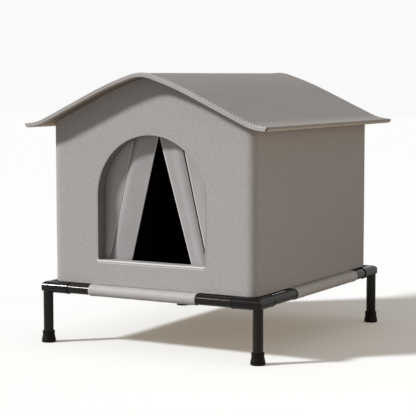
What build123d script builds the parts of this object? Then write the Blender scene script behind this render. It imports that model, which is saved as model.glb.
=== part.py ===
from build123d import *
import math
import os

# A small gabled cat house of fabric-covered board. It stands on a low frame of black steel tube,
# whose rails carry a sling cloth. The roof lifts off, and four curtain strips hang in the arched
# doorway.
# Millimetres. X runs to the right, Y to the back and Z up, from the floor under the stand's middle.

# Stand: steel tube
leg_pitch_x = 450.0  # between the leg axes, left to right
leg_pitch_y = 502.0  # between the leg axes, front to back
rail_axis_height = 106.5  # floor to the middle of the rails
tube_diameter = 19.0
tube_wall = 1.2
slip = 0.05  # radial clearance of a tube in its socket

# Stand: moulded corner connectors
arm_wall = 1.2
arm_reach = 50.0  # leg axis to the end of each arm
rail_stop = 14.0  # leg axis to the blind end of each rail socket
rim_height = 0.4  # how far the end rim stands proud of the arm
rim_length = 3.0
rim_chamfer = 0.3
corner_rounding = 5.0
leg_stop = 3.0  # rail axis down to the blind end of the leg socket
spigot_length = 30.0  # how far the plug reaches down inside the leg
spigot_slip = 0.15
spigot_lead = 1.5  # chamfer at the plug's tip

# Stand: rubber feet
foot_height = 22.0
foot_sole = 6.0  # rubber under the end of the leg
foot_wall = 2.2
foot_collar = 5.0  # height of the straight collar at the top
foot_groove = 0.5  # depth of the groove under the collar
foot_groove_height = 1.5
foot_flare = 1.7  # how far the skirt spreads beyond the collar
foot_skirt = 5.0  # height of the straight skirt above the floor
foot_rounding = 1.2

# Sling cloth
sleeve_thickness = 1.0
mat_thickness = 3.0
mat_rounding = 12.0  # corners of the mat, inside the connectors
mat_clearance = 0.3  # between the mat and the rims of the connectors
front_sleeve_length = 230.0
front_sleeve_shift = -11.5  # the sleeves are sewn off the middle of their rails
side_sleeve_length = 269.0
side_sleeve_shift = 22.5

# House: walls and floor of padded board
house_width = 435.0
house_depth = 489.0
wall_thickness = 22.0
corner_radius = 19.0
floor_thickness = 10.0
seat_gap = 0.35  # house above the cloth, so that the two lie free of each other

# Roof: one board bent to a rounded ridge and flared eaves
roof_width = 508.0
roof_length = 558.0
roof_rise = 393.1  # underside of the walls to the top of the ridge
roof_thickness = 7.5
ridge_radius = 80.0
ridge_angle = 17.0  # slope where the rounding of the ridge ends
crown_radius = 660.0  # the faint crown of each slope
pitch_angle = 24.8  # slope of the straight run below the crown
eave_radius = 105.0
eave_angle = 1.0  # slope that is left at the tip of the eave
binding_lip = 0.5  # how far the edge binding stands proud of the board
binding_width = 8.0
binding_cover = 2.5  # binding in front of the board's edge
binding_rounding = 2.4

# Hook-and-loop tape between the walls and the roof
loop_thickness = 0.9
hook_thickness = 0.8
tape_gap = 0.3
bond_gap = 0.05  # glue line, and the play of a trim on the board it covers
tape_inset = 4.0  # from each face of the wall
tape_end = 26.0  # from the end of each wall

# Doorway
door_width = 229.0
door_sill = 44.6  # underside of the walls to the sill
door_post = 121.4  # sill to the centre of the arch
door_corner = 4.0
lining_thickness = 1.2
flange_width = 3.5
flange_height = 1.0
flange_rounding = 0.6
lip_rounding = 1.6

# Curtain
strip_thickness = 2.5
strip_crest = 4.0  # how far the middle of a strip swells towards the front
strip_gap = 4.0  # between an inner and an outer strip
slit_gap = 0.8  # between the inner strips where they close
slit_drop = 6.0  # crown of the arch down to the top of the slit
slit_half_width = 61.5  # at the level of the sill
slit_lean = 5.0  # the slit's middle lies this far to the right at the sill
fold_top = 44.0  # door axis to the outer edge of an inner strip, at its top
fold_bottom = 103.0  # the same at the level of the sill
curtain_margin = 10.5  # how far the outer strips reach behind the door posts
strip_tuck = 5.0  # how far the strips hang below the sill
header_thickness = 1.2
header_height = 20.0
header_rise = 2.0  # crown of the arch to the lower edge of the header
strip_overlap = 10.0  # strip behind the header
sew_gap = 0.3

# Worked out from the sizes above
tube_radius = tube_diameter / 2
socket_radius = tube_radius + slip
arm_radius = socket_radius + arm_wall
rim_radius = arm_radius + rim_height
sleeve_radius = socket_radius + sleeve_thickness
collar_radius = socket_radius + foot_wall
mat_top = rail_axis_height + sleeve_radius
base_height = mat_top + seat_gap
inner_width = house_width - 2 * wall_thickness
inner_depth = house_depth - 2 * wall_thickness
ridge_height = base_height + roof_rise
hook_depth = roof_thickness + bond_gap
loop_depth = hook_depth + hook_thickness + tape_gap
wall_top_depth = loop_depth + loop_thickness + bond_gap
sill_height = base_height + door_sill
arch_radius = door_width / 2
arch_height = sill_height + door_post
door_back = house_depth / 2 - wall_thickness
header_foot = arch_height + arch_radius + header_rise
slit_top = arch_height + arch_radius - slit_drop
strip_top = header_foot + strip_overlap
strip_front = door_back - header_thickness - sew_gap

os.makedirs("parts", exist_ok=True)


def finish(piece, label):
    """Name a finished piece and write it out."""
    piece.part.label = label
    export_step(piece.part, f"parts/{label}.step")


def make_connector(label, x, y, turn):
    """Mitred elbow of two rail sockets, with a leg socket underneath and a plug for the leg's bore."""
    corner = Plane((x, y, rail_axis_height)).rotated((0, 0, turn))
    arm_x = Plane(corner.origin, x_dir=corner.y_dir, z_dir=corner.x_dir)
    arm_y = Plane(corner.origin, x_dir=corner.x_dir, z_dir=corner.y_dir)
    x_end = arm_x.offset(arm_reach)
    y_end = arm_y.offset(arm_reach)
    with BuildPart() as connector:
        with BuildLine() as elbow:
            Polyline(x_end.origin, corner.origin, y_end.origin)
        with BuildSketch(x_end):
            Circle(arm_radius)
        sweep(path=elbow.wires()[0], transition=Transition.RIGHT)
        # The moulding rounds the upright edge of the mitre
        with BuildSketch(corner.offset(-arm_radius)) as outline:
            with Locations((-arm_radius, -arm_radius)):
                span = arm_reach + 2 * arm_radius
                Rectangle(span, span, align=(Align.MIN, Align.MIN))
            fillet(outline.vertices().sort_by(Axis((0, 0, 0), (1, 1, 0)))[0], corner_rounding)
        extrude(amount=2 * arm_radius, mode=Mode.INTERSECT)
        for end in (x_end, y_end):
            with BuildSketch(end):
                Circle(rim_radius)
            extrude(amount=-rim_length)
            rim = connector.edges().filter_by(GeomType.CIRCLE).filter_by(
                lambda edge: abs(edge.radius - rim_radius) < slip)
            chamfer(rim.group_by(Axis(end.origin, end.z_dir))[-1], rim_chamfer)
            with BuildSketch(end):
                Circle(socket_radius)
            extrude(amount=rail_stop - arm_reach, mode=Mode.SUBTRACT)
        with BuildSketch(corner.offset(-leg_stop)):
            Circle(socket_radius)
        extrude(amount=-arm_radius, mode=Mode.SUBTRACT)
        with BuildSketch(corner.offset(-leg_stop)):
            Circle(tube_radius - tube_wall - spigot_slip)
        extrude(amount=-spigot_length)
        chamfer(connector.edges().group_by(Axis.Z)[0], spigot_lead)
    finish(connector, label)


def make_tube(label, start, length):
    """Straight round tube along the normal of the plane at its start."""
    with BuildPart() as tube:
        with BuildSketch(start):
            Circle(tube_radius)
            Circle(tube_radius - tube_wall, mode=Mode.SUBTRACT)
        extrude(amount=length)
    finish(tube, label)


def make_foot(label, x, y):
    """Rubber cap with a flared skirt, pushed over the end of a leg."""
    skirt_radius = collar_radius + foot_flare
    collar_foot = foot_height - foot_collar
    with BuildPart() as foot:
        with BuildSketch(Plane((x, y, 0), x_dir=(1, 0, 0), z_dir=(0, -1, 0))) as half:
            with BuildLine():
                Polyline(
                    (0, 0), (skirt_radius, 0), (skirt_radius, foot_skirt),
                    (collar_radius - foot_groove, collar_foot - foot_groove_height),
                    (collar_radius - foot_groove, collar_foot), (collar_radius, collar_foot),
                    (collar_radius, foot_height), (socket_radius, foot_height),
                    (socket_radius, foot_sole), (0, foot_sole), close=True,
                )
            make_face()
            skirt = half.vertices().group_by(Axis.X)[-1]
            fillet(skirt, foot_rounding)
        revolve(axis=Axis((x, y, 0), (0, 0, 1)))
    finish(foot, label)


# Stand: one connector, leg and foot at each corner; the turn points the connector's arms inward
for name, side_x, side_y, turn in (
    ("front_left", -1, -1, 0),
    ("front_right", 1, -1, 90),
    ("rear_right", 1, 1, 180),
    ("rear_left", -1, 1, 270),
):
    leg_x = side_x * leg_pitch_x / 2
    leg_y = side_y * leg_pitch_y / 2
    make_connector(f"corner_connector_{name}", leg_x, leg_y, turn)
    leg_foot = Plane((leg_x, leg_y, foot_sole))
    make_tube(f"leg_{name}", leg_foot, rail_axis_height - leg_stop - foot_sole)
    make_foot(f"foot_{name}", leg_x, leg_y)

# Stand: four rails, each from the blind end of one socket to the next
for name, side in (("front", -1), ("rear", 1)):
    start = (rail_stop - leg_pitch_x / 2, side * leg_pitch_y / 2, rail_axis_height)
    make_tube(f"rail_{name}", Plane(start, z_dir=(1, 0, 0)), leg_pitch_x - 2 * rail_stop)
for name, side in (("left", -1), ("right", 1)):
    start = (side * leg_pitch_x / 2, rail_stop - leg_pitch_y / 2, rail_axis_height)
    make_tube(f"rail_{name}", Plane(start, z_dir=(0, 1, 0)), leg_pitch_y - 2 * rail_stop)

# Sling cloth: a mat that fills the frame, with a sewn sleeve round the middle of each rail
cross_rail = Plane((0, 0, rail_axis_height), x_dir=(0, 1, 0), z_dir=(1, 0, 0))
long_rail = Plane((0, 0, rail_axis_height), x_dir=(-1, 0, 0), z_dir=(0, 1, 0))
with BuildPart() as sling:
    mat_drop = mat_top - mat_thickness - rail_axis_height
    mat_margin = math.sqrt(rim_radius**2 - mat_drop**2) + mat_clearance
    with BuildSketch(Plane.XY.offset(mat_top)) as outline:
        Rectangle(leg_pitch_x - 2 * mat_margin, leg_pitch_y - 2 * mat_margin)
        fillet(outline.vertices(), mat_rounding)
        with Locations((front_sleeve_shift, 0)):
            Rectangle(front_sleeve_length, leg_pitch_y)
        with Locations((0, side_sleeve_shift)):
            Rectangle(leg_pitch_x, side_sleeve_length)
    extrude(amount=-mat_thickness)
    for plane, pitch, sleeve, shift, rail in (
        (cross_rail, leg_pitch_y, front_sleeve_length, front_sleeve_shift, leg_pitch_x),
        (long_rail, leg_pitch_x, side_sleeve_length, side_sleeve_shift, leg_pitch_y),
    ):
        with BuildSketch(plane.offset(shift)):
            with GridLocations(pitch, 0, 2, 1):
                Circle(sleeve_radius)
        extrude(amount=sleeve / 2, both=True)
        with BuildSketch(plane):
            with GridLocations(pitch, 0, 2, 1):
                Circle(socket_radius)
        extrude(amount=rail / 2, both=True, mode=Mode.SUBTRACT)
finish(sling, "sling_cloth")


def roof_slope(depth):
    """Right half of the roof's line, this far under its top face: ridge, crown, run and eave."""
    run = (
        roof_width / 2
        - ridge_radius * math.sin(math.radians(ridge_angle))
        - crown_radius * (math.sin(math.radians(pitch_angle)) - math.sin(math.radians(ridge_angle)))
        - eave_radius * (math.sin(math.radians(pitch_angle)) - math.sin(math.radians(eave_angle)))
    ) / math.cos(math.radians(pitch_angle))
    ridge = JernArc((0, ridge_height - depth), (1, 0), ridge_radius - depth, -ridge_angle)
    crown = JernArc(ridge @ 1, ridge % 1, crown_radius - depth, ridge_angle - pitch_angle)
    straight = Line(crown @ 1, crown @ 1 + (crown % 1) * run)
    eave = JernArc(straight @ 1, straight % 1, eave_radius + depth, pitch_angle - eave_angle)
    return ridge @ 0, eave @ 1


def roof_band(top, bottom):
    """Section of a sheet that follows the roof between two depths."""
    with BuildLine() as outline:
        ridge_above, tip_above = roof_slope(top)
        ridge_below, tip_below = roof_slope(bottom)
        Line(ridge_above, ridge_below)
        Line(tip_above, tip_below)
    half = make_face(outline.edges())
    mirror(half, about=Plane.YZ)


def under_roof(depth):
    """Everything in the section below the roof's line at this depth, down to the foot of the walls."""
    with BuildLine() as outline:
        ridge, tip = roof_slope(depth)
        Polyline(ridge, (0, base_height), (tip.X, base_height), tip)
    half = make_face(outline.edges())
    mirror(half, about=Plane.YZ)


def slab(low_x, high_x):
    """Keep what lies between two places across the house."""
    with Locations((low_x, base_height)):
        Rectangle(
            high_x - low_x, roof_rise, align=(Align.MIN, Align.MIN), mode=Mode.INTERSECT)


def doorway(margin):
    """Arched outline of the door opening, this much larger all round."""
    radius = arch_radius + margin
    with BuildSketch(Plane.XY, mode=Mode.PRIVATE) as outline:
        with Locations((0, arch_height)):
            Circle(radius)
            Rectangle(2 * radius, door_post + margin, align=(Align.CENTER, Align.MAX))
        fillet(outline.vertices().group_by(Axis.Y)[0], door_corner + margin)
    return outline.sketch


def across(y):
    """Upright plane across the house at this Y; sketches on it extrude to the front."""
    return Plane.XZ.offset(-y)


# Gable walls: the front one has the doorway
for name, inner_y, outward in (("front_wall", -door_back, 1), ("rear_wall", door_back, -1)):
    with BuildPart() as gable:
        with BuildSketch(across(inner_y)):
            under_roof(wall_top_depth)
            slab(-house_width / 2, house_width / 2)
        extrude(amount=outward * wall_thickness)
        upright = gable.edges().filter_by(Axis.Z).group_by(Axis.Y)
        fillet(upright[0] if outward > 0 else upright[-1], corner_radius)
        if name == "front_wall":
            with BuildSketch(across(inner_y)):
                add(doorway(lining_thickness + bond_gap))
            extrude(amount=wall_thickness, mode=Mode.SUBTRACT)
    finish(gable, name)

# Side walls, between the gable walls
for name, low_x in (("left_wall", -house_width / 2), ("right_wall", inner_width / 2)):
    with BuildPart() as side_wall:
        with BuildSketch(across(-door_back)):
            under_roof(wall_top_depth)
            slab(low_x, low_x + wall_thickness)
        extrude(amount=-inner_depth)
    finish(side_wall, name)

# Floor board, inside the four walls
with BuildPart() as floor_board:
    with BuildSketch(Plane.XY.offset(base_height)):
        Rectangle(inner_width, inner_depth)
    extrude(amount=floor_thickness)
finish(floor_board, "floor_board")

# Door binding: lines the opening through the wall and turns over its front edge as a flat flange
with BuildPart() as binding:
    with BuildSketch(across(-door_back)):
        add(doorway(lining_thickness))
        add(doorway(0), mode=Mode.SUBTRACT)
    extrude(amount=wall_thickness)
    with BuildSketch(across(-house_depth / 2)):
        add(doorway(flange_width))
        add(doorway(0), mode=Mode.SUBTRACT)
    extrude(amount=flange_height)
    fillet(binding.faces().sort_by(Axis.Y)[0].inner_wires()[0].edges(), lip_rounding)
    fillet(binding.faces().sort_by(Axis.Y)[0].outer_wire().edges(), flange_rounding)
finish(binding, "door_binding")

# Curtain header: folded tape sewn to the back of the front wall, above the arch
curtain_half = arch_radius + curtain_margin
with BuildPart() as header:
    with BuildSketch(across(-door_back)):
        with Locations((0, header_foot)):
            Rectangle(2 * curtain_half, header_height, align=(Align.CENTER, Align.MIN))
    extrude(amount=-header_thickness)
finish(header, "curtain_header")


def strip_section(height, inner_x, outer_x):
    """Level cut through a strip whose middle swells forward between its two edges."""
    edge = strip_crest - strip_front
    middle = (inner_x + outer_x) / 2
    with BuildSketch(Plane.XY.offset(height)) as section:
        with BuildLine():
            front = ThreePointArc((inner_x, edge), (middle, -strip_front), (outer_x, edge))
            back = ThreePointArc(
                (inner_x, edge + strip_thickness),
                (middle, strip_thickness - strip_front),
                (outer_x, edge + strip_thickness),
            )
            Line(front @ 0, back @ 0)
            Line(front @ 1, back @ 1)
        make_face()
    return section.sketch


def strip_edges(side, height):
    """Slit edge and outer edge of the inner strip on one side: downwards, both lean outwards."""
    fall = max(slit_top - height, 0) / (slit_top - sill_height)
    drop = (strip_top - height) / (strip_top - sill_height)
    slit = slit_gap / 2 + (slit_half_width - slit_gap / 2) * fall
    fold = fold_top + (fold_bottom - fold_top) * drop
    return side * slit + slit_lean * fall, side * fold


# Curtain: two inner and two outer strips, which hang from the header
strip_foot = sill_height - strip_tuck
for name, side in (("left", -1), ("right", 1)):
    with BuildPart() as inner_strip:
        cuts = []
        for level in (strip_top, slit_top, strip_foot):
            cuts.append(strip_section(level, *strip_edges(side, level)))
        loft(cuts, ruled=True)
    finish(inner_strip, f"curtain_inner_{name}")
    with BuildPart() as outer_strip:
        cuts = []
        for level in (strip_top, strip_foot):
            fold = strip_edges(side, level)[1] + side * strip_gap
            cuts.append(strip_section(level, fold, side * curtain_half))
        loft(cuts, ruled=True)
    finish(outer_strip, f"curtain_outer_{name}")

# Roof board
board_half = roof_length / 2 - binding_cover


def board_section(margin):
    """Section of the roof board, this much larger all round."""
    roof_band(-margin, roof_thickness + margin)
    edge = roof_width / 2 - binding_cover + margin
    slab(-edge, edge)


with BuildPart() as roof_board:
    with BuildSketch(across(-board_half)):
        board_section(0)
    extrude(amount=-2 * board_half)
finish(roof_board, "roof_board")

# Roof binding: a channel round each edge of the board; the gable ones run the whole width
for name, end in (("front", -1), ("rear", 1)):
    with BuildPart() as gable_binding:
        with BuildSketch(across(end * roof_length / 2)):
            roof_band(-binding_lip, roof_thickness + binding_lip)
        extrude(amount=end * binding_width)
        outer = gable_binding.faces().sort_by(Axis.Y)[0 if end < 0 else -1]
        fillet(outer.edges(), binding_rounding)
        with BuildSketch(across(end * (board_half + bond_gap))):
            board_section(bond_gap)
        extrude(amount=end * binding_width, mode=Mode.SUBTRACT)
    finish(gable_binding, f"roof_binding_{name}")
for name, side in (("left", -1), ("right", 1)):
    with BuildPart() as eave_binding:
        with BuildSketch(across(binding_width - roof_length / 2)):
            roof_band(-binding_lip, roof_thickness + binding_lip)
            root = side * (roof_width / 2 - binding_width)
            beyond = side * (roof_width / 2 + binding_lip)
            slab(min(root, beyond), max(root, beyond))
        extrude(amount=2 * binding_width - roof_length)
        tip = eave_binding.faces().sort_by(Axis.X)[0 if side < 0 else -1]
        fillet(tip.edges().filter_by(Axis.Y), binding_rounding)
        with BuildSketch(across(binding_width - roof_length / 2)):
            board_section(bond_gap)
        extrude(amount=2 * binding_width - roof_length, mode=Mode.SUBTRACT)
    finish(eave_binding, f"roof_binding_{name}")

# Hook-and-loop tape: the loop half on top of the walls, the hook half under the roof
for name, top, bottom in (
    ("loop_tape", loop_depth, loop_depth + loop_thickness),
    ("hook_tape", hook_depth, hook_depth + hook_thickness),
):
    with BuildPart() as tape:
        for start_y in (tape_inset - house_depth / 2, door_back + tape_inset):
            with BuildSketch(across(start_y)):
                roof_band(top, bottom)
                slab(tape_end - house_width / 2, house_width / 2 - tape_end)
            extrude(amount=2 * tape_inset - wall_thickness)
        for low_x in (tape_inset - house_width / 2, inner_width / 2 + tape_inset):
            with BuildSketch(across(tape_end - house_depth / 2)):
                roof_band(top, bottom)
                slab(low_x, low_x + wall_thickness - 2 * tape_inset)
            extrude(amount=2 * tape_end - house_depth)
    finish(tape, name)
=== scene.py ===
import math

import bmesh
import bpy
from mathutils import Matrix, Vector, noise


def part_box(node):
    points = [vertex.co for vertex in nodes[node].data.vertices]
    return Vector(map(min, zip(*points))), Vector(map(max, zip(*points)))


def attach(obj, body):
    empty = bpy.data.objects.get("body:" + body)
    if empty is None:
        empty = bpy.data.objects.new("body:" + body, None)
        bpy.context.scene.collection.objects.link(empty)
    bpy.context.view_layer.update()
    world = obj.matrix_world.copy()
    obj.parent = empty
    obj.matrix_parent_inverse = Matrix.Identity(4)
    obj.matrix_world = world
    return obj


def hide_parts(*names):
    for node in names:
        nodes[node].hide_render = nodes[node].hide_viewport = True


# A small gabled cat house of felt-covered board on a low stand of black steel tube.
# Metres, in the CAD frame: X to the right, Y to the back, Z up from the floor.
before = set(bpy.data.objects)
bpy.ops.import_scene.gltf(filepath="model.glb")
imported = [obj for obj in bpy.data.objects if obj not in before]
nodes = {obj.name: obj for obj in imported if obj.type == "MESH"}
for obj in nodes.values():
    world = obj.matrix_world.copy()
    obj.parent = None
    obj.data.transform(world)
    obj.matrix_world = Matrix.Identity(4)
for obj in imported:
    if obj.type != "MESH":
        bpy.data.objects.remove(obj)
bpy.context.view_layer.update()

# Camera
# Solved from the photograph's own edges, so the picture's 416 by 416 frame needs no shift.
aim = Vector((-0.01766, 0, 0.24507))
camera_azimuth = math.radians(29.60)
camera_elevation = math.radians(5.30)
camera_roll = math.radians(-0.09)
camera_distance = 2.793
camera = bpy.data.objects.new("camera", bpy.data.cameras.new("camera"))
camera.data.sensor_width = 36
camera.data.lens = 122.3
turned = Matrix.Rotation(camera_azimuth, 4, "Z") @ Matrix.Rotation(math.pi / 2 - camera_elevation, 4, "X")
camera.matrix_world = (
    Matrix.Translation(aim) @ turned @ Matrix.Rotation(camera_roll, 4, "Z")
    @ Matrix.Translation((0, 0, camera_distance))
)
bpy.context.scene.collection.objects.link(camera)
bpy.context.scene.camera = camera

# Light
# One key lamp, high at the front left, and a pale surround. A weak warm lamp fills the shaded side.
bpy.context.scene.view_settings.view_transform = "Standard"
key_travel = Vector((1.05, 1.0, -1.02))
key = bpy.data.objects.new("key", bpy.data.lights.new("key", "SUN"))
key.data.energy = 3.3
key.data.angle = math.radians(7)
key.data.color = (1.0, 0.99, 0.98)
key.rotation_euler = key_travel.to_track_quat("-Z", "Y").to_euler()
bpy.context.scene.collection.objects.link(key)
fill = bpy.data.objects.new("fill", bpy.data.lights.new("fill", "AREA"))
fill.data.shape = "DISK"
fill.data.size = 2.0
fill.data.energy = 12.5
fill.data.color = (1.0, 0.75, 0.53)
fill.location = (2.9, 0.1, 0.7)
fill.rotation_euler = (aim - fill.location).to_track_quat("-Z", "Y").to_euler()
bpy.context.scene.collection.objects.link(fill)


def node(tree, kind, values={}, **settings):
    """One node with its settings. A value that is a socket of another node is linked."""
    made = tree.nodes.new(kind)
    for name, value in settings.items():
        setattr(made, name, value)
    for name, value in values.items():
        if isinstance(value, bpy.types.NodeSocket):
            tree.links.new(value, made.inputs[name])
        else:
            made.inputs[name].default_value = value
    return made


def seen_directly(tree):
    """1 where the camera looks, straight or by a reflection or through glass."""
    path = node(tree, "ShaderNodeLightPath")
    gloss = node(tree, "ShaderNodeMath", {0: path.outputs["Is Camera Ray"], 1: path.outputs["Is Glossy Ray"]},
                 operation="MAXIMUM")
    return node(tree, "ShaderNodeMath", {0: gloss.outputs[0], 1: path.outputs["Is Transmission Ray"]},
                operation="MAXIMUM").outputs[0]


# Surround: a dim even light on the object, and plain white where it is looked at
world = bpy.data.worlds.new("surround")
bpy.context.scene.world = world
world.use_nodes = True
sky = world.node_tree
sky.nodes.clear()
lit = node(sky, "ShaderNodeBackground", {"Color": (0.96, 0.98, 1.0, 1), "Strength": 0.29})
shown = node(sky, "ShaderNodeBackground", {"Color": (0.95, 0.95, 0.955, 1), "Strength": 1.0})
both = node(sky, "ShaderNodeMixShader", {0: seen_directly(sky), 1: lit.outputs[0], 2: shown.outputs[0]})
node(sky, "ShaderNodeOutputWorld", {"Surface": both.outputs[0]})

# Floor
# A plain white studio floor. It sends less light back up at the object than the eye sees on it, and to the
# eye alone it glows a little, so that the object's shadow stays a soft warm grey.
floor_mesh = bpy.data.meshes.new("floor")
reach = 14.0
floor_corners = [(-reach, -reach, 0), (reach, -reach, 0), (reach, reach, 0), (-reach, reach, 0)]
floor_mesh.from_pydata(floor_corners, [], [(0, 1, 2, 3)])
floor = bpy.data.objects.new("floor", floor_mesh)
bpy.context.scene.collection.objects.link(floor)
floor_paint = bpy.data.materials.new("studio floor")
floor_paint.use_nodes = True
tree = floor_paint.node_tree
tree.nodes.clear()
clean = node(tree, "ShaderNodeBsdfDiffuse", {"Color": (0.92, 0.965, 1.0, 1)})
glow = node(tree, "ShaderNodeEmission", {"Color": (0.165, 0.132, 0.092, 1), "Strength": 1.0})
bright = node(tree, "ShaderNodeAddShader", {0: clean.outputs[0], 1: glow.outputs[0]})
dull = node(tree, "ShaderNodeBsdfDiffuse", {"Color": (0.42, 0.385, 0.35, 1)})
both = node(tree, "ShaderNodeMixShader", {0: seen_directly(tree), 1: dull.outputs[0], 2: bright.outputs[0]})
node(tree, "ShaderNodeOutputMaterial", {"Surface": both.outputs[0]})
floor_mesh.materials.append(floor_paint)


def new_group(name, inputs, outputs):
    """An empty shader node group with these named number or vector sockets."""
    group = bpy.data.node_groups.new(name, "ShaderNodeTree")
    for socket, kind in inputs:
        group.interface.new_socket(socket, in_out="INPUT", socket_type=kind)
    for socket, kind in outputs:
        group.interface.new_socket(socket, in_out="OUTPUT", socket_type=kind)
    return group, node(group, "NodeGroupInput"), node(group, "NodeGroupOutput")


def number_mix(tree, share, a, b):
    return node(tree, "ShaderNodeMix", {0: share, 2: a, 3: b}, data_type="FLOAT").outputs[0]


def colour_mix(tree, share, dark, light):
    return node(tree, "ShaderNodeMix", {0: share, 6: (*dark, 1), 7: (*light, 1)}, data_type="RGBA").outputs[2]


def spread(tree, value, low, high):
    """0 below low, 1 above high, and an even rise between."""
    return node(tree, "ShaderNodeMapRange", {0: value, 1: low, 2: high, 3: 0.0, 4: 1.0}).outputs[0]


# Handling marks: broad, soft changes of tone and a fine grain, on moulded and coated parts
handled, handled_in, handled_out = new_group(
    "handling marks", [("Vector", "NodeSocketVector"), ("Broad", "NodeSocketFloat"), ("Fine",
        "NodeSocketFloat")],
    [("Tone", "NodeSocketFloat"), ("Height", "NodeSocketFloat")])
broad = node(handled, "ShaderNodeTexNoise", {
    "Vector": handled_in.outputs["Vector"], "Scale": handled_in.outputs["Broad"], "Detail": 3.0})
fine = node(handled, "ShaderNodeTexNoise", {
    "Vector": handled_in.outputs["Vector"], "Scale": handled_in.outputs["Fine"], "Detail": 2.0})
handled.links.new(broad.outputs[0], handled_out.inputs["Tone"])
handled.links.new(fine.outputs[0], handled_out.inputs["Height"])


def coated(name, dark, light, rough, smooth, broad, fine, relief, **constants):
    """A moulded or coated finish: its tone and its gloss drift a little, over a fine skin."""
    paint = bpy.data.materials.new(name)
    paint.use_nodes = True
    tree = paint.node_tree
    tree.nodes.clear()
    place = node(tree, "ShaderNodeTexCoord").outputs["Object"]
    marks = node(tree, "ShaderNodeGroup", {}, node_tree=handled)
    tree.links.new(place, marks.inputs["Vector"])
    marks.inputs["Broad"].default_value = broad
    marks.inputs["Fine"].default_value = fine
    share = spread(tree, marks.outputs["Tone"], 0.3, 0.7)
    tone = colour_mix(tree, share, dark, light)
    gloss = number_mix(tree, share, rough, smooth)
    skin = node(tree, "ShaderNodeBump", {"Strength": 0.5, "Distance": relief,
                                         "Height": marks.outputs["Height"]})
    shader = node(tree, "ShaderNodeBsdfPrincipled", {
        "Base Color": tone, "Roughness": gloss, "Normal": skin.outputs[0]})
    for socket, value in constants.items():
        shader.inputs[socket.replace("_", " ")].default_value = value
    node(tree, "ShaderNodeOutputMaterial", {"Surface": shader.outputs[0]})
    return paint


def dress(names, paint):
    """Gives CAD nodes their finish."""
    for name in names:
        nodes[name].data.materials.clear()
        nodes[name].data.materials.append(paint)


corners = ("front_left", "front_right", "rear_right", "rear_left")
sides = ("front", "rear", "left", "right")

# Legs and rails
# Straight steel tube, 19 mm, with a satin black powder coat. The ends sit in the corner connectors.
powder_coat = coated("black powder coat", (0.009, 0.007, 0.0055), (0.015, 0.012, 0.0095), 0.21, 0.15,
                     9.0, 1400.0, 0.00005, Specular_IOR_Level=0.16)
dress([f"leg_{corner}" for corner in corners] + [f"rail_{side}" for side in sides], powder_coat)

# Corner connectors
# Glossy black mouldings that the tubes push into. A plug reaches down inside each leg.
moulding = coated("glossy black moulding", (0.006, 0.005, 0.0045), (0.010, 0.0085, 0.0075), 0.14, 0.10,
                  14.0, 500.0, 0.00003, Specular_IOR_Level=0.16)
dress([f"corner_connector_{corner}" for corner in corners], moulding)

# Feet
# Matte black rubber caps pushed over the legs: a straight collar, a groove and a flared skirt.
rubber = coated("matte black rubber", (0.006, 0.005, 0.004), (0.010, 0.008, 0.007), 0.6, 0.45,
                25.0, 900.0, 0.00008, Specular_IOR_Level=0.08)
dress([f"foot_{corner}" for corner in corners], rubber)

# Cloth grain: fine threads both ways, in a pattern measured in metres
woven, woven_in, woven_out = new_group(
    "cloth grain", [("Vector", "NodeSocketVector"), ("Threads", "NodeSocketFloat")],
    [("Height", "NodeSocketFloat"), ("Tone", "NodeSocketFloat")])
along = node(woven, "ShaderNodeTexWave", {
    "Vector": woven_in.outputs["Vector"], "Scale": woven_in.outputs["Threads"], "Distortion": 1.0,
    "Detail": 1.0, "Detail Scale": 2.0}, bands_direction="X")
across = node(woven, "ShaderNodeTexWave", {
    "Vector": woven_in.outputs["Vector"], "Scale": woven_in.outputs["Threads"], "Distortion": 1.0,
    "Detail": 1.0, "Detail Scale": 2.0}, bands_direction="Y")
threads = node(woven, "ShaderNodeMath", {0: along.outputs["Fac"], 1: across.outputs["Fac"]},
               operation="MULTIPLY")
patches = node(woven, "ShaderNodeTexNoise", {"Vector": woven_in.outputs["Vector"], "Scale": 22.0,
                                             "Detail": 4.0})
woven.links.new(threads.outputs[0], woven_out.inputs["Height"])
woven.links.new(patches.outputs[0], woven_out.inputs["Tone"])

# Felt nap: short matted fibres, the same in every direction
matted, matted_in, matted_out = new_group(
    "felt nap", [("Vector", "NodeSocketVector"), ("Fibres", "NodeSocketFloat")],
    [("Height", "NodeSocketFloat"), ("Tone", "NodeSocketFloat")])
hairs = node(matted, "ShaderNodeTexNoise", {
    "Vector": matted_in.outputs["Vector"], "Scale": matted_in.outputs["Fibres"], "Detail": 5.0,
    "Roughness": 0.7})
tufts = node(matted, "ShaderNodeTexNoise", {
    "Vector": matted_in.outputs["Vector"], "Scale": 260.0, "Detail": 3.0, "Roughness": 0.6})
matted.links.new(hairs.outputs[0], matted_out.inputs["Height"])
matted.links.new(tufts.outputs[0], matted_out.inputs["Tone"])


def cloth(name, dark, light, rough, grain, scale, relief, where="UV", **constants):
    """A cloth finish over one of the two grains."""
    paint = bpy.data.materials.new(name)
    paint.use_nodes = True
    tree = paint.node_tree
    tree.nodes.clear()
    place = node(tree, "ShaderNodeTexCoord").outputs[where]
    surface = node(tree, "ShaderNodeGroup", {}, node_tree=grain)
    tree.links.new(place, surface.inputs["Vector"])
    surface.inputs[1].default_value = scale
    tone = colour_mix(tree, spread(tree, surface.outputs["Tone"], 0.3, 0.7), dark, light)
    skin = node(tree, "ShaderNodeBump", {"Strength": 0.6, "Distance": relief,
                                         "Height": surface.outputs["Height"]})
    shader = node(tree, "ShaderNodeBsdfPrincipled", {
        "Base Color": tone, "Roughness": rough, "Normal": skin.outputs[0]})
    for socket, value in constants.items():
        shader.inputs[socket.replace("_", " ")].default_value = value
    node(tree, "ShaderNodeOutputMaterial", {"Surface": shader.outputs[0]})
    return paint


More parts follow.
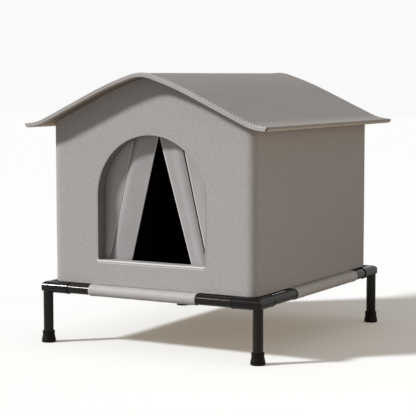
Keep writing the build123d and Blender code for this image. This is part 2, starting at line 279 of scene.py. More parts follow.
def piece_from(name, points, faces, paint, uvs=None):
    """A mesh piece at its place, with rounded shading except at its sharp edges."""
    mesh = bpy.data.meshes.new(name)
    mesh.from_pydata([tuple(p) for p in points], [], faces)
    if uvs:
        layer = mesh.uv_layers.new(name="cloth")
        for loop in mesh.loops:
            layer.data[loop.index].uv = uvs[loop.vertex_index]
    work = bmesh.new()
    work.from_mesh(mesh)
    bmesh.ops.remove_doubles(work, verts=work.verts, dist=0.00001)
    bmesh.ops.recalc_face_normals(work, faces=work.faces)
    work.to_mesh(mesh)
    work.free()
    mesh.shade_smooth()
    mesh.set_sharp_from_angle(angle=math.radians(38))
    mesh.materials.append(paint)
    piece = bpy.data.objects.new(name, mesh)
    bpy.context.scene.collection.objects.link(piece)
    return piece


def grid(rows, closed_rows=False, closed_columns=False):
    """Points and four-sided faces of a net given row by row."""
    wide, tall = len(rows[0]), len(rows)
    points = [p for row in rows for p in row]
    faces = []
    for i in range(tall if closed_rows else tall - 1):
        for j in range(wide if closed_columns else wide - 1):
            k, n = (i + 1) % tall, (j + 1) % wide
            faces.append((i * wide + j, i * wide + n, k * wide + n, k * wide + j))
    return points, faces


def lerp(a, b, t):
    return a + (b - a) * t


def steps(a, b, count):
    """Evenly spaced values from a to b, both kept."""
    return [lerp(a, b, i / count) for i in range(count + 1)]


# Stitch row: thread laid along a line, one short rounded stitch after another
stitch_row = bpy.data.node_groups.new("stitch row", "GeometryNodeTree")
for socket, kind in (("Line", "NodeSocketGeometry"), ("Pitch", "NodeSocketFloat"), ("Stitch",
    "NodeSocketFloat"),
                     ("Thread", "NodeSocketFloat"), ("Colour", "NodeSocketMaterial")):
    stitch_row.interface.new_socket(socket, in_out="INPUT", socket_type=kind)
stitch_row.interface.new_socket("Stitches", in_out="OUTPUT", socket_type="NodeSocketGeometry")
row_in = node(stitch_row, "NodeGroupInput")
line = node(stitch_row, "GeometryNodeMeshToCurve", {"Mesh": row_in.outputs["Line"]})
spaced = node(stitch_row, "GeometryNodeResampleCurve", {
    "Curve": line.outputs["Curve"], "Length": row_in.outputs["Pitch"]}, mode="LENGTH")
lay = node(stitch_row, "GeometryNodeInputNamedAttribute", {"Name": "lay"}, data_type="FLOAT_VECTOR")
facing = node(stitch_row, "FunctionNodeAlignRotationToVector", {"Vector": lay.outputs["Attribute"]}, axis="Z")
half_stitch = node(stitch_row, "ShaderNodeMath", {0: row_in.outputs["Stitch"], 1: 0.5}, operation="MULTIPLY")
half_thread = node(stitch_row, "ShaderNodeMath", {0: row_in.outputs["Thread"], 1: 0.5}, operation="MULTIPLY")
uneven = node(stitch_row, "FunctionNodeRandomValue", {2: 0.85, 3: 1.1, "Seed": 7}, data_type="FLOAT")
longer = node(stitch_row, "ShaderNodeMath", {0: half_stitch.outputs[0], 1: uneven.outputs[1]},
              operation="MULTIPLY")
size = node(stitch_row, "ShaderNodeCombineXYZ", {
    0: half_thread.outputs[0], 1: half_thread.outputs[0], 2: longer.outputs[0]})
bead = node(stitch_row, "GeometryNodeMeshUVSphere", {"Segments": 8, "Rings": 5, "Radius": 1.0})
placed = node(stitch_row, "GeometryNodeInstanceOnPoints", {
    "Points": spaced.outputs["Curve"], "Instance": bead.outputs["Mesh"],
    "Rotation": facing.outputs["Rotation"],
    "Scale": size.outputs["Vector"]})
real = node(stitch_row, "GeometryNodeRealizeInstances", {"Geometry": placed.outputs["Instances"]})
smooth = node(stitch_row, "GeometryNodeSetShadeSmooth", {"Geometry": real.outputs["Geometry"]})
coloured = node(stitch_row, "GeometryNodeSetMaterial", {
    "Geometry": smooth.outputs["Geometry"], "Material": row_in.outputs["Colour"]})
node(stitch_row, "NodeGroupOutput", {"Stitches": coloured.outputs["Geometry"]})


def stitch(name, lines, pitch, length, thread, paint):
    """Stitches along lines of (point, lay) pairs, made into one plain mesh."""
    points, edges, lays = [], [], []
    for line in lines:
        first = len(points)
        points += [tuple(p) for p, _ in line]
        lays += [tuple(v) for _, v in line]
        edges += [(i, i + 1) for i in range(first, len(points) - 1)]
    mesh = bpy.data.meshes.new(name + " line")
    mesh.from_pydata(points, edges, [])
    stored = mesh.attributes.new("lay", "FLOAT_VECTOR", "POINT")
    for i, v in enumerate(lays):
        stored.data[i].vector = v
    guide = bpy.data.objects.new(name + " line", mesh)
    bpy.context.scene.collection.objects.link(guide)
    rows = guide.modifiers.new("stitch row", "NODES")
    rows.node_group = stitch_row
    sockets = {s.name: s.identifier for s in stitch_row.interface.items_tree if s.in_out == "INPUT"}
    for socket, value in (("Pitch", pitch), ("Stitch", length), ("Thread", thread), ("Colour", paint)):
        rows[sockets[socket]] = value
    ready = guide.evaluated_get(bpy.context.evaluated_depsgraph_get())
    made = bpy.data.objects.new(name, bpy.data.meshes.new_from_object(ready))
    bpy.context.scene.collection.objects.link(made)
    bpy.data.objects.remove(guide)
    return made


def directed(points):
    """Pairs each point of a line with the direction in which the line runs there."""
    pairs = []
    for i, p in enumerate(points):
        ahead, behind = points[min(i + 1, len(points) - 1)], points[max(i - 1, 0)]
        pairs.append((p, (ahead - behind).normalized()))
    return pairs


# Sling cloth
# One smooth coated grey cloth that fills the frame and carries the house. Its edge is coloured black as
# painted shade, for the dark gap between the rails and the walls.
# At the middle of each rail it is turned round the tube as a sleeve, and sewn down to itself under the mat.
coated_grey = cloth("coated grey cloth", (0.45, 0.435, 0.425), (0.49, 0.475, 0.465), 0.5, woven, 420.0,
                    0.00008,
                    Specular_IOR_Level=0.2)
thread_grey = coated("grey thread", (0.36, 0.35, 0.34), (0.44, 0.43, 0.42), 0.7, 0.6, 300.0, 2000.0, 0.00002)
rail_front, rail_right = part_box("rail_front"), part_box("rail_right")
rail_x = (rail_right[0].x + rail_right[1].x) / 2
rail_y = -(rail_front[0].y + rail_front[1].y) / 2
rail_z = (rail_front[0].z + rail_front[1].z) / 2
sleeve_radius = 0.0101
front_sleeve = (-0.1265, 0.1035)
side_sleeve = (-0.1120, 0.1570)
mat_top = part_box("sling_cloth")[1].z - 0.0002
mat_thickness = 0.0018
mat_gap, hem_gap = 0.0052, 0.0090
hem_reach, painted_shade_edge_width = 0.022, 0.004
mat_x, mat_y = rail_x - mat_gap, rail_y - mat_gap
rows = []
for y in steps(-mat_y, mat_y, 64):
    row = []
    for x in steps(-mat_x, mat_x, 58):
        span = (1 - (x / mat_x) ** 4) * (1 - (y / mat_y) ** 4)
        ripple = noise.noise(Vector((x * 16, y * 16, 3.0)))
        row.append(Vector((x, y, mat_top - 0.0009 * span + 0.0002 * ripple * span)))
    rows.append(row)
points, faces = grid(rows)
mat = piece_from("sling_mat", points, faces, coated_grey, [(p.x, p.y) for p in points])
# Near-black edge colour: painted shade in the gap between the rails and the walls.
edge_painted_shade = cloth("black mat edge, painted gap shade", (0.012, 0.011, 0.010), (0.020, 0.018, 0.017), 0.9, woven,
                     420.0, 0.00008,
                     Specular_IOR_Level=0.05)
mat.data.materials.append(edge_painted_shade)
# The mat's outer rim takes the near-black painted shade.
for face in mat.data.polygons:
    rim = min(mat_x - abs(face.center.x), mat_y - abs(face.center.y))
    face.material_index = 1 if rim < painted_shade_edge_width else 0
thick = mat.modifiers.new("thickness", "SOLIDIFY")
thick.thickness = mat_thickness
thick.offset = -1


def sleeve_turn(radius):
    """The cloth's line in a cut across a rail, from the mat over the tube and back under the mat. The first
    value is the distance outward from the rail's axis."""
    turn = [(-hem_gap - 0.004, mat_top - rail_z)]
    for angle in steps(90, -128, 40):
        turn.append((radius * math.cos(math.radians(angle)), radius * math.sin(math.radians(angle))))
    low = mat_top - mat_thickness - 0.0012 - rail_z
    turn += [(-hem_gap - 0.006, low - 0.0022), (-hem_gap - hem_reach * 0.6, low), (-hem_gap - hem_reach, low)]
    return turn


sleeves, seams = [], []
for label, low, high, outward, across_rail in (
    ("front", *front_sleeve, Vector((0, -1, 0)), rail_y), ("rear", *front_sleeve, Vector((0, 1, 0)), rail_y),
    ("right", *side_sleeve, Vector((1, 0, 0)), rail_x), ("left", *side_sleeve, Vector((-1, 0, 0)), rail_x),
):
    along_rail = Vector((abs(outward.y), abs(outward.x), 0))
    rows = []
    for t in steps(low, high, 70):
        crease = 0.00022 * noise.noise(Vector((t * 60, across_rail * 9, outward.x * 5)))
        end = min(t - low, high - t)
        swell = 0.00035 if end < 0.010 else 0.0
        row = []
        for out, up in sleeve_turn(sleeve_radius):
            wrinkle = crease + swell + 0.00012 * noise.noise(Vector((t * 90, out * 200, up * 200)))
            wave = 1 + wrinkle / sleeve_radius
            level = along_rail * t + outward * (across_rail + out * wave)
            row.append(level + Vector((0, 0, rail_z + up * wave)))
        rows.append(row)
    points, faces = grid(rows)
    run = [0.0]
    for a, b in zip(rows[0], rows[0][1:]):
        run.append(run[-1] + (b - a).length)
    spots = [(t, r) for t in steps(low, high, 70) for r in run]
    sleeve = piece_from(f"sling_sleeve_{label}", points, faces, coated_grey, spots)
    thick = sleeve.modifiers.new("thickness", "SOLIDIFY")
    thick.thickness = 0.0008
    thick.offset = 0
    sleeves.append(sleeve)
    seam_out, seam_z = across_rail - hem_gap - 0.009, mat_top + 0.00005
    hem_z = rail_z + sleeve_turn(1)[-2][1] - 0.0008
    for z in (seam_z, hem_z):
        beside = outward * seam_out + Vector((0, 0, z))
        seams.append(directed([along_rail * t + beside for t in steps(low, high, 30)]))
mat_seams = stitch("sling_stitches", seams, 0.0045, 0.0032, 0.0006, thread_grey)
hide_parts("sling_cloth")
for piece in [mat, mat_seams, *sleeves]:
    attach(piece, "stand")

# Walls
# Padded board in one cover of grey felt, taken round the corners without a seam. Its inner faces are coloured
# near black as painted shade for the deep inside of the house. The tops follow the roof.
felt = cloth("grey felt", (0.390, 0.375, 0.366), (0.450, 0.434, 0.425), 0.92, matted, 1300.0, 0.00035,
             "Object",
             Specular_IOR_Level=0.1)
# Near-black colour for the inner faces: painted shade inside the house.
lining_painted_shade = cloth("near-black inner faces, painted shade", (0.035, 0.034, 0.033), (0.055, 0.053, 0.051), 0.9, woven, 420.0,
                    0.0001,
                    "Object", Specular_IOR_Level=0.1)
front_low, front_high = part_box("front_wall")
half_width, half_depth = front_high.x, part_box("rear_wall")[1].y
base = front_low.z
wall = front_high.y - front_low.y
corner = 0.019
roof_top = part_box("roof_board")[1].z
roof_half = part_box("roof_binding_front")[1].x - 0.00001
ridge_radius, crown_radius, eave_radius = 0.080, 0.660, 0.105
ridge_angle, pitch_angle, eave_angle = math.radians(17.0), math.radians(24.8), math.radians(1.0)


def roof_line(depth):
    """Right half of the roof's line this far under its top face, as (place, slope) pairs: rounded ridge,
    faint crown, straight run and flared eave."""
    run = roof_half - ridge_radius * math.sin(ridge_angle)
    run -= crown_radius * (math.sin(pitch_angle) - math.sin(ridge_angle))
    run -= eave_radius * (math.sin(pitch_angle) - math.sin(eave_angle))
    run /= math.cos(pitch_angle)
    x, z, slope = 0.0, roof_top - depth, 0.0
    line = [(Vector((x, z)), slope)]
    for radius, to, count in ((ridge_radius - depth, ridge_angle, 10), (crown_radius - depth, pitch_angle,
        10),
                              (None, pitch_angle, 12), (-eave_radius - depth, eave_angle, 14)):
        for step in range(count):
            if radius is None:
                x += run * math.cos(slope) / count
                z -= run * math.sin(slope) / count
            else:
                after = slope + (to - slope) / (count - step)
                x += radius * (math.sin(after) - math.sin(slope))
                z += radius * (math.cos(after) - math.cos(slope))
                slope = after
            line.append((Vector((x, z)), slope))
    return line


def under_roof(x, line):
    """Height of a roof line at this place across the house."""
    x = abs(x)
    for (a, _), (b, _) in zip(line, line[1:]):
        if a.x <= x <= b.x:
            return lerp(a.y, b.y, (x - a.x) / (b.x - a.x))
    return line[-1][0].y


door_low, door_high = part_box("door_binding")
flange_width, lining, sill_roll = 0.0035, 0.0012, 0.0020
door_half = door_high.x - flange_width
sill = door_low.z + flange_width + sill_roll
spring = door_high.z - flange_width - door_half
hole = door_half + lining
wall_top = roof_line(0.0097)
wall_rim = roof_line(0.0079)
rim_width = 0.003
bends = [math.radians(a) for a in steps(-90, 90, 40)]
stations = [(x, -half_depth, 0, -1) for x in steps(corner - half_width, -hole, 9)[:-1]]
stations += [(hole * math.sin(a), -half_depth, 0, -1) for a in bends]
stations += [(x, -half_depth, 0, -1) for x in steps(hole, half_width - corner, 9)[1:]]


def corner_stations(side_x, side_y, start):
    """A quarter turn of the cover round one upright corner."""
    for angle in steps(start, start + 90, 10)[1:]:
        out_x, out_y = math.cos(math.radians(angle)), math.sin(math.radians(angle))
        yield (side_x * (half_width - corner) + corner * out_x,
               side_y * (half_depth - corner) + corner * out_y,
               out_x, out_y)


stations += corner_stations(1, -1, -90)
stations += [(half_width, y, 1, 0) for y in steps(corner - half_depth, half_depth - corner, 38)[1:]]
stations += corner_stations(1, 1, 0)
stations += [(x, half_depth, 0, 1) for x in steps(half_width - corner, corner - half_width, 34)[1:]]
stations += corner_stations(-1, 1, 90)
stations += [(-half_width, y, -1, 0) for y in steps(half_depth - corner, corner - half_depth, 38)[1:]]
stations += list(corner_stations(-1, -1, 180))[:-1]
rows_low, rows_door, rows_high = 5, 12, 15


def arch_at(x):
    return spring + math.sqrt(max(hole ** 2 - x ** 2, 0)) if abs(x) < hole else spring


def in_door(station):
    return station[3] == -1 and station[1] < 0 and abs(station[0]) < hole + 0.00001


def wall_heights(x, station, top_line):
    top = under_roof(x, top_line)
    foot = sill - lining
    low_part = steps(base, foot, rows_low)
    door_part = steps(foot, spring, rows_door)
    high_part = steps(arch_at(station[0]) if in_door(station) else spring, top, rows_high)
    return low_part + door_part[1:] + high_part


points, spot = [], {}
levels = rows_low + rows_door + rows_high + 2
for i, station in enumerate(stations):
    x, y, out_x, out_y = station
    in_x = max(min(x, half_width - wall), wall - half_width)
    in_y = max(min(y, half_depth - wall), wall - half_depth)
    for skin, (px, py) in enumerate(((x, y), (in_x, in_y))):
        for j, z in enumerate(wall_heights(px, station, wall_top if skin else wall_rim)):
            swell = 0.00045 * noise.noise(Vector((px * 11, py * 11, z * 11))) if skin == 0 else 0.0
            near_door = in_door((abs(px) - 0.012, *station[1:])) and sill - 0.02 < z < spring + hole + 0.012
            swell = 0.0 if near_door else swell
            spot[i, j, skin] = len(points)
            points.append(Vector((px + out_x * swell, py + out_y * swell, z)))
    rim_x, rim_y = x - out_x * rim_width, y - out_y * rim_width
    spot[i, "rim"] = len(points)
    points.append(Vector((rim_x, rim_y, under_roof(rim_x, wall_top))))
faces = []
count = len(stations)
spring_row = rows_low + rows_door
for i, station in enumerate(stations):
    k = (i + 1) % count
    open_here = in_door(station) and in_door(stations[k])
    for skin in (0, 1):
        for j in range(levels - 1):
            if j == spring_row or (open_here and rows_low <= j < spring_row):
                continue
            face = (spot[i, j, skin], spot[k, j, skin], spot[k, j + 1, skin], spot[i, j + 1, skin])
            faces.append(face if skin == 0 else face[::-1])
    faces.append((spot[i, 0, 0], spot[i, 0, 1], spot[k, 0, 1], spot[k, 0, 0]))
    top = levels - 1
    faces.append((spot[i, top, 0], spot[k, top, 0], spot[k, "rim"], spot[i, "rim"]))
    faces.append((spot[i, "rim"], spot[k, "rim"], spot[k, top, 1], spot[i, top, 1]))
    if open_here:
        for j in (rows_low, spring_row + 1):
            faces.append((spot[i, j, 0], spot[i, j, 1], spot[k, j, 1], spot[k, j, 0]))
for i, station in enumerate(stations):
    if in_door(station) and (abs(abs(station[0]) - hole) < 0.00001):
        for j in range(rows_low, spring_row):
            faces.append((spot[i, j, 0], spot[i, j + 1, 0], spot[i, j + 1, 1], spot[i, j, 1]))
house = piece_from("house_walls", points, faces, felt)
house.data.materials.append(lining_painted_shade)
# Faces inside the walls take the near-black painted shade.
for face in house.data.polygons:
    inside_x = abs(face.center.x) < half_width - wall + 0.0005
    inside_y = abs(face.center.y) < half_depth - wall + 0.0005
    face.material_index = 1 if inside_x and inside_y else 0
soft_edge = house.modifiers.new("soft edge", "BEVEL")
soft_edge.width = 0.0016
soft_edge.segments = 3
soft_edge.limit_method = "ANGLE"
soft_edge.angle_limit = math.radians(50)
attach(house, "house")
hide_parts("front_wall", "rear_wall", "left_wall", "right_wall")

# Floor board
# A thinner board which fills the bottom between the walls, coloured near black like the walls' inner faces as
# painted shade.
floor_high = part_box("floor_board")[1]
rows = []
pad_x, pad_y = floor_high.x - 0.0003, floor_high.y - 0.0003
pad_edge, pad_round = 0.004, 0.012
for y in steps(-pad_y, pad_y, 40):
    row = []
    for x in steps(-pad_x, pad_x, 36):
        rim = min(pad_x - abs(x), pad_y - abs(y))
        drop = pad_edge * (1 - min(rim / pad_round, 1)) ** 2
        row.append(Vector((x, y, floor_high.z - drop + 0.0004 * noise.noise(Vector((x * 14, y * 14, 8.0))))))
    rows.append(row)
points, faces = grid(rows)
# Its near-black colour is painted shade inside the house.
floor_pad = piece_from("floor_board_cover", points, faces, lining_painted_shade)
thick = floor_pad.modifiers.new("thickness", "SOLIDIFY")
thick.thickness = 0.0055
thick.offset = -1
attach(floor_pad, "house")
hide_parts("floor_board")

# Door binding
# A bias-cut tape that lines the opening through the wall. On the inside of the posts and the arch it is
# coloured dark brown-grey as painted shade. It is rolled over the front edge as a soft bead, fuller along the
# sill and lightened there as a painted highlight, and sewn flat on the face of the wall.
bound = cloth("grey binding tape", (0.41, 0.395, 0.385), (0.46, 0.445, 0.435), 0.55, woven, 600.0, 0.00006,
              Specular_IOR_Level=0.25)
corner_turn = 0.004
flat_end = door_half - corner_turn
around = [(Vector((x, sill)), Vector((0, -1))) for x in steps(-flat_end, flat_end, 34)]
for angle in steps(-90, 0, 6)[1:]:
    out = Vector((math.cos(math.radians(angle)), math.sin(math.radians(angle))))
    around.append((Vector((door_half - corner_turn, sill + corner_turn)) + out * corner_turn, out))
around += [(Vector((door_half, z)), Vector((1, 0))) for z in steps(sill + corner_turn, spring, 16)[1:]]
for angle in steps(0, 180, 72)[1:]:
    out = Vector((math.cos(math.radians(angle)), math.sin(math.radians(angle))))
    around.append((Vector((0, spring)) + out * door_half, out))
around += [(Vector((-door_half, z)), Vector((-1, 0))) for z in steps(spring, sill + corner_turn, 16)[1:]]
for angle in steps(180, 270, 6)[1:-1]:
    out = Vector((math.cos(math.radians(angle)), math.sin(math.radians(angle))))
    around.append((Vector((corner_turn - door_half, sill + corner_turn)) + out * corner_turn, out))
face_y = -half_depth


def binding_section(out):
    """The tape in a cut across it, as (distance out from the opening, place front to back) pairs. Its bead is
    fullest along the sill and nearly flat at the upper left."""
    full = 1.0 + 1.5 * max(-out.y, 0) - 0.5 * max(out.y - out.x, 0)
    bead = 0.0008 * full
    cut = [(0.0, y) for y in steps(face_y + wall, face_y + 0.0014, 7)]
    for angle in steps(180, 30, 9)[1:]:
        turn = math.radians(angle)
        cut.append((bead + bead * math.cos(turn), face_y + 0.0001 - 0.9 * bead * math.sin(turn)))
    cut += [(bead * 2 + 0.0004, face_y - 0.0002), (bead * 2 + 0.0012, face_y - 0.0003)]
    cut += [(bead * 2 + 0.0018, face_y - 0.0002), (bead * 2 + 0.0020, face_y + 0.0001)]
    return cut + [(lining, face_y + 0.0002), (lining, face_y + wall)]


rows = [[Vector((p.x + out.x * o, y, p.y + out.y * o)) for o, y in binding_section(out)] for p, out in around]
points, faces = grid(rows, closed_rows=True, closed_columns=True)
spots, run = [], 0.0
for i, (p, out) in enumerate(around):
    run += (p - around[i - 1][0]).length if i else 0.0
    spots += [(run, j * 0.002) for j in range(len(rows[0]))]
binding = piece_from("door_binding_tape", points, faces, bound, spots)
# Dark brown-grey for the inside of the posts and arch: painted shade in the opening.
shaded = cloth("reveal tape, brown-grey painted shade", (0.20, 0.178, 0.162), (0.24, 0.216, 0.198), 0.8, woven, 600.0,
               0.00006,
               Specular_IOR_Level=0.1)
binding.data.materials.append(shaded)
# Near-white tape for the sill's front roll: painted highlight where the roll faces the light.
sill_painted_highlight = cloth("sill roll, painted highlight", (0.66, 0.65, 0.645), (0.72, 0.71, 0.705), 0.5, woven, 600.0, 0.00004,
                  Specular_IOR_Level=0.25)
binding.data.materials.append(sill_painted_highlight)
# Inside faces of the posts and arch take the painted shade; the front roll along the sill takes the painted
# highlight.
for face in binding.data.polygons:
    inward = face_y + 0.0012 < face.center.y
    low = face.center.z < sill + 0.0005
    face.material_index = (0 if low else 1) if inward else (2 if low else 0)
seam = [Vector((p.x + out.x * 0.00265, face_y - 0.0004, p.y + out.y * 0.00265)) for p, out in around]
door_stitches = stitch("door_stitches", [directed(seam + seam[:1])], 0.0042, 0.0030, 0.00045, thread_grey)
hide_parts("door_binding")
for piece in (binding, door_stitches):
    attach(piece, "house")

# Curtain header
# Folded tape that holds the tops of the four strips against the back of the front wall.
curtain_cloth = cloth("satin grey curtain cloth", (0.37, 0.353, 0.357), (0.415, 0.397, 0.40), 0.36, woven,
                      700.0,
                      0.00004, Specular_IOR_Level=0.35)
# Pale colour for the strip hems and cut edges: a painted highlight along the edges.
hem_painted_highlight = cloth("hem tape, painted highlight", (0.60, 0.585, 0.58), (0.66, 0.645, 0.64), 0.45, woven, 700.0, 0.00004,
                 Specular_IOR_Level=0.3)
header_low, header_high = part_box("curtain_header")
header_middle, header_reach = (header_low + header_high) / 2, (header_high - header_low) / 2
rows = []
for x in steps(header_low.x, header_high.x, 48):
    row = []
    for angle in steps(0, 330, 11):
        up, out = math.sin(math.radians(angle)), math.cos(math.radians(angle))
        z = header_middle.z + header_reach.z * max(min(1.35 * up, 1), -1)
        y = header_middle.y + header_reach.y * max(min(1.8 * out, 1), -1)
        row.append(Vector((x, y, z)))
    rows.append(row)
points, faces = grid(rows, closed_columns=True)
width = len(rows[0])
faces += [tuple(range(width))[::-1], tuple(range(len(points) - width, len(points)))]
header = piece_from("curtain_header_tape", points, faces, curtain_cloth, [(p.x, p.z) for p in points])
header_seams = []
seam_inset = 0.003
for z in (header_low.z + seam_inset, header_high.z - seam_inset):
    across = steps(header_low.x + seam_inset, header_high.x - seam_inset, 20)
    header_seams.append(directed([Vector((x, header_high.y + 0.0001, z)) for x in across]))
header_stitches = stitch("curtain_header_stitches", header_seams, 0.0042, 0.0030, 0.00045, thread_grey)
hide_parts("curtain_header")
for piece in (header, header_stitches):
    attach(piece, "house")

# Curtain strips
# Four limp strips of satin coated cloth, cut on the slant, each with a narrow hem down both edges, coloured
# pale as a painted edge highlight. They are caught in the header and part in the middle over the way in.
strip_low, strip_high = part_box("curtain_inner_left")
strip_top, strip_foot = strip_high.z, strip_low.z
strip_front = -strip_low.y
slit_top = spring + door_half - 0.001
slit_gap, slit_half, slit_shift, slit_lean = 0.0012, 0.0650, 0.0027, 0.0042
fold_top, fold_bottom, strip_gap = 0.044, 0.103, 0.004
curtain_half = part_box("curtain_outer_right")[1].x
crest = 0.004
strip_cloth, hem_width = 0.0014, 0.0020
strip_spread = {-1: 0.0015, 1: 0.0006}


def strip_edges(side, z):
    strip_sill = sill - sill_roll
    fall = max(slit_top - z, 0) / (slit_top - strip_sill)
    drop = (strip_top - z) / (strip_top - strip_sill)
    slit = side * lerp(slit_gap, slit_half, fall) + slit_shift + slit_lean * fall
    return slit, side * lerp(fold_top, fold_bottom, drop)


def inner_folds(u, side, z):
    """How far an inner strip stands back from its crest, across its width from the slit to its outer edge."""
    fall = (strip_top - z) / (strip_top - strip_foot)
    if side < 0:
        return 0.0056 * max(1 - u / 0.76, 0) ** 1.2 + 0.0046 * (max(u - 0.76, 0) / 0.24) ** 2
    valley = math.exp(-((u - 0.42) / 0.16) ** 2)
    back = 0.25 * (1 - u) ** 2 + 0.6 * (1 - u) + 0.4 * valley * (1 - 0.5 * fall)
    return crest * (back + 0.95 * max(u - 0.7, 0) ** 2 / 0.09)


def outer_folds(u, side, z):
    return crest * (2 * u - 1) ** 2 + (0.005 * u if side > 0 else 0)


for kind, folds in (("inner", inner_folds), ("outer", outer_folds)):
    for name, side in (("left", -1), ("right", 1)):
        rows, spots, area = [], [], 0.0
        heights = steps(strip_top, slit_top, 3) + steps(slit_top, strip_foot, 44)[1:]
        for z in heights:
            slit, fold = strip_edges(side, z)
            if kind == "inner":
                a, b = slit, fold + side * strip_spread[side]
            else:
                a, b = fold + side * (strip_gap - strip_spread[side]), side * curtain_half
            row = []
            edge = hem_width / abs(b - a)
            for u in [0.0, *steps(edge, 1 - edge, 22), 1.0]:
                hem = 0.0003 if min(u, 1 - u) * abs(b - a) < 0.005 else 0.0
                x = lerp(a, b, u)
                y = folds(u, side, z) - strip_front + strip_cloth / 2 - hem
                y += 0.0004 * noise.noise(Vector((x * 20, side * 3, z * 9)))
                row.append(Vector((x, y, z)))
            rows.append(row)
        for above, below in zip(rows, rows[1:]):
            both_widths = abs(above[-1].x - above[0].x) + abs(below[-1].x - below[0].x)
            area += (above[0].z - below[0].z) * both_widths / 2
        points, faces = grid(rows)
        strip = piece_from(f"curtain_strip_{kind}_{name}", points, faces, curtain_cloth, [(p.x,
            p.z) for p in points])
        thick = strip.modifiers.new("thickness", "SOLIDIFY")
        thick.thickness = strip_cloth
        thick.offset = 0
        thick.use_even_offset = True
        thick.material_offset_rim = 1
        strip.data.materials.append(hem_painted_highlight)
        # Edge columns and the cut rims take the pale painted highlight.
        columns = len(rows[0]) - 1
        for face in strip.data.polygons:
            face.material_index = 1 if face.index % columns in (0, columns - 1) else 0
        hems = []
        raised = Vector((0, -strip_cloth / 2 - 0.0001, 0))
        below_header = [row for row in rows if row[0].z < header_low.z - 0.003]
        for u, inward in ((2, 1), (22, -1)):
            hems.append(directed([lerp(row[u], row[u + inward], 0.5) + raised for row in below_header]))
        hem_stitches = stitch(f"curtain_hems_{kind}_{name}", hems, 0.0042, 0.0030, 0.0004, thread_grey)
        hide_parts(f"curtain_{kind}_{name}")
        for piece in (strip, hem_stitches):
            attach(piece, f"strip_{kind}_{name}")

# Hook-and-loop tape
# Dark grey tape in two halves: loops glued along the tops of the walls, hooks under the roof board.
pile = cloth("hook-and-loop pile", (0.14, 0.132, 0.128), (0.22, 0.21, 0.205), 0.95, matted, 900.0, 0.0008,
             "Object")
dress(["loop_tape", "hook_tape"], pile)

# Roof cover
# One bent board in fine-ribbed grey cloth. The ribs run from front to back, in line with the ridge. The cloth
# under it is warm brown, darkened inward from the eaves as painted shade, and pale at the eaves.
ribbed = bpy.data.materials.new("fine-ribbed grey cloth")
ribbed.use_nodes = True
tree = ribbed.node_tree
tree.nodes.clear()
place = node(tree, "ShaderNodeTexCoord").outputs["UV"]
rib = node(tree, "ShaderNodeTexWave", {
    "Vector": place, "Scale": 70.0, "Distortion": 0.6, "Detail": 1.0, "Detail Scale": 3.0},
    bands_direction="X")
streaks = node(tree, "ShaderNodeMapping", {"Vector": place, "Scale": (230.0, 7.0, 1.0)})
drawn = node(tree, "ShaderNodeTexNoise", {
    "Vector": streaks.outputs[0], "Scale": 1.0, "Detail": 3.0, "Roughness": 0.6})
grain = node(tree, "ShaderNodeGroup", {}, node_tree=matted)
tree.links.new(place, grain.inputs["Vector"])
grain.inputs[1].default_value = 1500.0
share = spread(tree, drawn.outputs[0], 0.3, 0.7)
tone = colour_mix(tree, share, (0.365, 0.342, 0.324), (0.405, 0.380, 0.361))
raised = node(tree, "ShaderNodeBump", {"Strength": 0.6, "Distance": 0.0002, "Height": rib.outputs["Fac"]})
skin = node(tree, "ShaderNodeBump", {
    "Strength": 0.4, "Distance": 0.0002, "Height": grain.outputs["Height"], "Normal": raised.outputs[0]})
shader = node(tree, "ShaderNodeBsdfPrincipled", {
    "Base Color": tone, "Roughness": 0.8, "Specular IOR Level": 0.1, "Normal": skin.outputs[0]})
node(tree, "ShaderNodeOutputMaterial", {"Surface": shader.outputs[0]})
board_thickness = 0.0075
board_low, board_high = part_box("roof_board")
board_edge = board_high.x - 0.0045


def clipped(line, edge, tuck=0.0):
    """A roof line cut off at this place across the house, both halves, from left to right. Its last stretch
    may be drawn in by a tuck."""
    right = [(p, slope) for p, slope in line if p.x < edge - 0.0005]
    right.append((Vector((edge, under_roof(edge, line))), line[-1][1]))
    drawn_from, drawn = edge - 0.02, (0.02 - tuck) / 0.02
    for i, (p, slope) in enumerate(right):
        if tuck and p.x > drawn_from:
            x = lerp(drawn_from, p.x, drawn)
            right[i] = (Vector((x, under_roof(x, line))), slope)
    return [(Vector((-p.x, p.y)), -slope) for p, slope in right[:0:-1]] + right


upper = clipped(roof_line(0), board_edge)
lower = clipped(roof_line(board_thickness), board_edge)
rows, spots = [], []
run = [0.0]
outline = [p for p, _ in upper] + [p for p, _ in reversed(lower)]
for a, b in zip(outline, outline[1:]):
    run.append(run[-1] + (b - a).length)
for y in steps(board_low.y, board_high.y, 56):
    row = []
    for p in outline:
        sag = 0.0004 * noise.noise(Vector((p.x * 9, y * 9, 5.0)))
        row.append(Vector((p.x, y, p.y + sag)))
    rows.append(row)
    spots += [(r, y) for r in run]
points, faces = grid(rows, closed_columns=True)
roof = piece_from("roof_cover", points, faces, ribbed, spots)
under = bpy.data.materials.new("underside, painted shade inward")
under.use_nodes = True
tree = under.node_tree
tree.nodes.clear()
place = node(tree, "ShaderNodeSeparateXYZ", {0: node(tree, "ShaderNodeTexCoord").outputs["Object"]})
sideways = node(tree, "ShaderNodeMath", {0: place.outputs["X"]}, operation="ABSOLUTE")
# Dark warm brown inward of the eaves is painted shade under the roof; the tone pales towards the eaves.
share = spread(tree, sideways.outputs[0], 0.195, 0.24)
tone = colour_mix(tree, share, (0.22, 0.18, 0.145), (0.66, 0.56, 0.45))
shader = node(tree, "ShaderNodeBsdfPrincipled", {"Base Color": tone, "Roughness": 0.8,
                                                 "Specular IOR Level": 0.1})
node(tree, "ShaderNodeOutputMaterial", {"Surface": shader.outputs[0]})
roof.data.materials.append(under)
for face in roof.data.polygons:
    face.material_index = 1 if face.normal.z < -0.3 else 0
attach(roof, "roof")
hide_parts("roof_board")

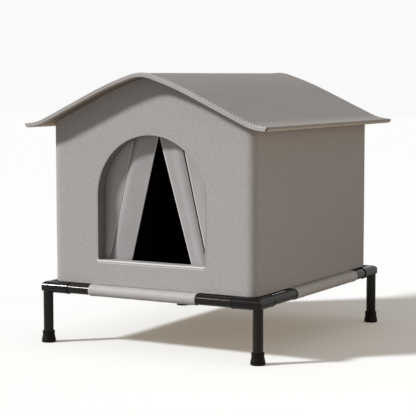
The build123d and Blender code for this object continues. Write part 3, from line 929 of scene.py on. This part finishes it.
# Roof binding
# The board's four edges are wrapped in a doubled tape that stands a little proud, plain and two-toned along
# the eaves. On the gables a row of slanted whipped stitches holds it down on the cover.
gable_end = -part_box("roof_binding_front")[0].y
binding_width, binding_lip = 0.008, 0.0005
# Across the binding: distance in from its outer face, and depth under the board's top face
wrap = [(0.0080, 0.0001), (0.0076, -0.0004), (0.0060, -0.0005), (0.0034, -0.0005), (0.0018, -0.0003),
        (0.0008, 0.0003),
        (0.0002, 0.0012), (0.0000, 0.0022), (0.0003, 0.0032), (0.0009, 0.0037), (0.0003, 0.0042), (0.0000,
            0.0053),
        (0.0003, 0.0064), (0.0010, 0.0073), (0.0022, 0.0079), (0.0040, 0.0080), (0.0074, 0.0080), (0.0080,
            0.0076)]


def eave_tuck(depth):
    """How far the eave's rounded edge stands back at this depth."""
    return 0.0075 * (1 - math.sqrt(1 - min(max((depth - 0.0012) / 0.0068, 0), 0.98) ** 2))


edge_tape = cloth("grey edge tape", (0.42, 0.40, 0.388), (0.48, 0.46, 0.448), 0.6, woven, 600.0, 0.00006,
                  Specular_IOR_Level=0.2)


def comb_lay(end, slope):
    """Direction of a whipped stitch: inward over the binding, slanted to the left along the roof's line."""
    return Vector((-0.55 * math.cos(slope), -end, 0.55 * math.sin(slope))).normalized()


eave_tape = cloth("grey eave tape", (0.34, 0.318, 0.30), (0.38, 0.356, 0.338), 0.7, woven, 600.0, 0.00006,
                  Specular_IOR_Level=0.1)
beige_tape = cloth("warm lower eave tape", (0.62, 0.54, 0.45), (0.68, 0.595, 0.50), 0.7, woven, 600.0,
                   0.00006,
                   Specular_IOR_Level=0.1)
comb = {}
for name, end in (("front", -1), ("rear", 1)):
    lines = {depth: clipped(roof_line(depth), roof_half, eave_tuck(depth)) for _, depth in wrap}
    rows = []
    for i in range(len(lines[0.0080])):
        row = []
        for inset, depth in wrap:
            p = lines[depth][i][0]
            row.append(Vector((p.x, end * (gable_end - inset), p.y)))
        rows.append(row)
    points, faces = grid(rows, closed_columns=True)
    width = len(wrap)
    faces += [tuple(range(width)), tuple(range(len(points) - width, len(points)))[::-1]]
    run, spots = 0.0, []
    for i, row in enumerate(rows):
        run += (row[0] - rows[i - 1][0]).length if i else 0.0
        spots += [(run, j * 0.0015) for j in range(width)]
    tape = piece_from(f"roof_edge_{name}", points, faces, edge_tape, spots)
    top = clipped(roof_line(-binding_lip), roof_half - 0.006)
    stitch_y = end * (gable_end - binding_width - 0.0012)
    comb[name] = [(Vector((p.x, stitch_y, p.y)), comb_lay(end, slope)) for p, slope in top]
    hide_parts(f"roof_binding_{name}")
    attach(tape, "roof")
for name, side in (("left", -1), ("right", 1)):
    rows = []
    inner_end = gable_end - binding_width
    for y in steps(-inner_end, inner_end, 48):
        row = []
        for inset, depth in wrap:
            x = roof_half - max(inset, eave_tuck(depth))
            row.append(Vector((side * x, y, under_roof(min(x, roof_half - 0.0001), roof_line(depth)))))
        rows.append(row)
    points, faces = grid(rows, closed_columns=True)
    spots = [(row[0].y, j * 0.0015) for row in rows for j in range(len(wrap))]
    tape = piece_from(f"roof_edge_{name}", points, faces, eave_tape, spots)
    tape.data.materials.append(beige_tape)
    for face in tape.data.polygons:
        face.material_index = 1 if face.center.z < under_roof(abs(face.center.x), roof_line(0.0044)) else 0
    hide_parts(f"roof_binding_{name}")
    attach(tape, "roof")
pale_thread = coated("pale thread", (0.62, 0.605, 0.59), (0.68, 0.665, 0.65), 0.6, 0.5, 300.0, 2000.0,
                     0.00002)
roof_stitches = stitch("roof_stitches", list(comb.values()), 0.0061, 0.0075, 0.0022, pale_thread)
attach(roof_stitches, "roof")
